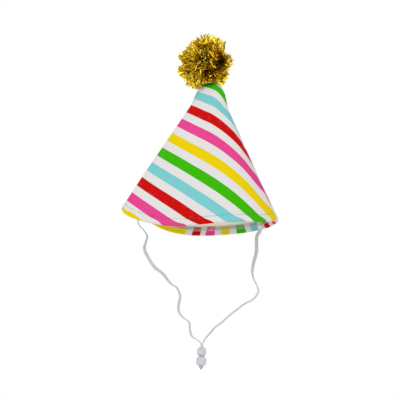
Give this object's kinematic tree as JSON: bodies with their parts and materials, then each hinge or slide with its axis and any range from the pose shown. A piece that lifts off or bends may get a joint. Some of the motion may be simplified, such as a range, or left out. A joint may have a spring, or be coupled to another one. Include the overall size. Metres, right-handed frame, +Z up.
{
  "type": "party hat",
  "caption": "Cone party hat of striped fabric with a tinsel pompom tied to its tip and an elastic chin strap drawn in by a sliding bead.",
  "frame": {"origin": "the middle of the opening that the head goes into, level with the lowest part of the rim", "axes": "+Z up the cone's axis towards the pompom, -Y to the front, +X to the right seen from the front"},
  "size_m": [0.1385, 0.0786, 0.2949],
  "materials": {
    "striped_fabric": "matte",
    "felt": "matte",
    "seam": "matte",
    "thread": "satin",
    "gold_thread": "satin",
    "tinsel": "gloss",
    "elastic": "matte",
    "bead": "gloss"
  },
  "bodies": {
    "hat": {"hat_fabric": "striped_fabric", "stiffener": "felt", "back_seam": "seam", "hem_topstitch": "thread", "hem_overlock": "thread", "tack_left": "thread", "tack_right": "thread", "tie_knot": "gold_thread"},
    "pompom_tie": {"pompom_neck": "gold_thread"},
    "pompom": {"pompom_tinsel": "tinsel", "pompom_binding": "gold_thread"},
    "chin_strap": {"elastic_left": "elastic", "elastic_right": "elastic", "stopper_bead": "bead", "end_knot": "elastic"},
    "toggle": {"toggle_bead": "bead"}
  },
  "joints": [
    {"name": "pompom_sway", "type": "hinge", "parent": "hat", "child": "pompom_tie", "pos_m": [0.0017, 0, 0.13263], "axis": [0, 1, 0], "range_deg": [-12, 12], "stiffness_Nm_per_rad": 0.012, "springref_deg": 6.02},
    {"name": "pompom_nod", "type": "hinge", "parent": "pompom_tie", "child": "pompom", "pos_m": [0.0017, 0, 0.13263], "axis": [1, 0, 0], "range_deg": [-12, 12], "stiffness_Nm_per_rad": 0.012},
    {"name": "strap_swing", "type": "hinge", "parent": "hat", "child": "chin_strap", "pos_m": [-0.0605, 0.006, 0.013], "axis": [0.9736, 0.2154, -0.0763], "range_deg": [-60, 60]},
    {"name": "toggle_slide", "type": "slide", "parent": "chin_strap", "child": "toggle", "axis": [0, 0, 1], "range_m": [0, 0.04], "deforming": ["elastic_left", "elastic_right"]}
  ]
}
